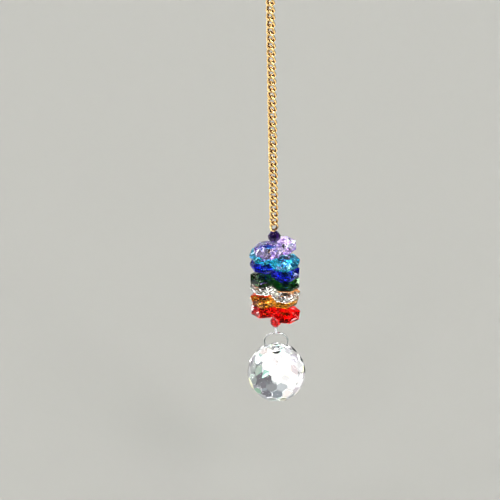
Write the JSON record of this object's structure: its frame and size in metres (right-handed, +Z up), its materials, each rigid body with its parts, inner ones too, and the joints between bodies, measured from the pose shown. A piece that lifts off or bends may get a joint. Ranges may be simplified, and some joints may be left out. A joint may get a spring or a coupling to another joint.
{
  "type": "crystal suncatcher",
  "caption": "Hanging suncatcher: a clear faceted ball under a stack of coloured octagon crystal discs on a thread and a gold curb chain.",
  "frame": {"origin": "the point inside the top ring that rests on the hook, on the chain's axis", "axes": "+Z up along the chain, -Y towards the viewer, so the discs point to the sides along X; the hook passes through the ring along Y"},
  "size_m": [0.0302, 0.0302, 0.2666],
  "materials": {
    "gold_wire": "bright gold plate, darker between the links",
    "silver_wire": "bright silver plate",
    "nylon_line": "clear nylon line",
    "purple_crystal": "polished, cut flat in facets",
    "lavender_crystal": "polished, cut flat in facets",
    "turquoise_crystal": "polished, cut flat in facets",
    "cobalt_crystal": "polished, cut flat in facets",
    "green_crystal": "polished, cut flat in facets",
    "clear_crystal": "polished, cut flat in facets",
    "amber_crystal": "polished, cut flat in facets",
    "red_crystal": "polished, cut flat in facets",
    "ball_crystal": "polished, cut flat in facets"
  },
  "bodies": {
    "root": {"hanging_ring": "gold_wire", "chain": "gold_wire", "purple_bead": "purple_crystal", "lavender_disc_front": "lavender_crystal", "lavender_disc_back": "lavender_crystal", "turquoise_disc_right": "turquoise_crystal", "turquoise_disc_left": "turquoise_crystal", "cobalt_disc_right": "cobalt_crystal", "cobalt_disc_left": "cobalt_crystal", "green_disc_right": "green_crystal", "green_disc_left": "green_crystal", "clear_disc_right": "clear_crystal", "clear_disc_left": "clear_crystal", "amber_disc_right": "amber_crystal", "amber_disc_left": "amber_crystal", "red_disc_right": "red_crystal", "red_disc_left": "red_crystal", "red_bead": "red_crystal", "thread": "nylon_line", "bail": "silver_wire", "crystal_ball": "ball_crystal"}
  },
  "joints": []
}
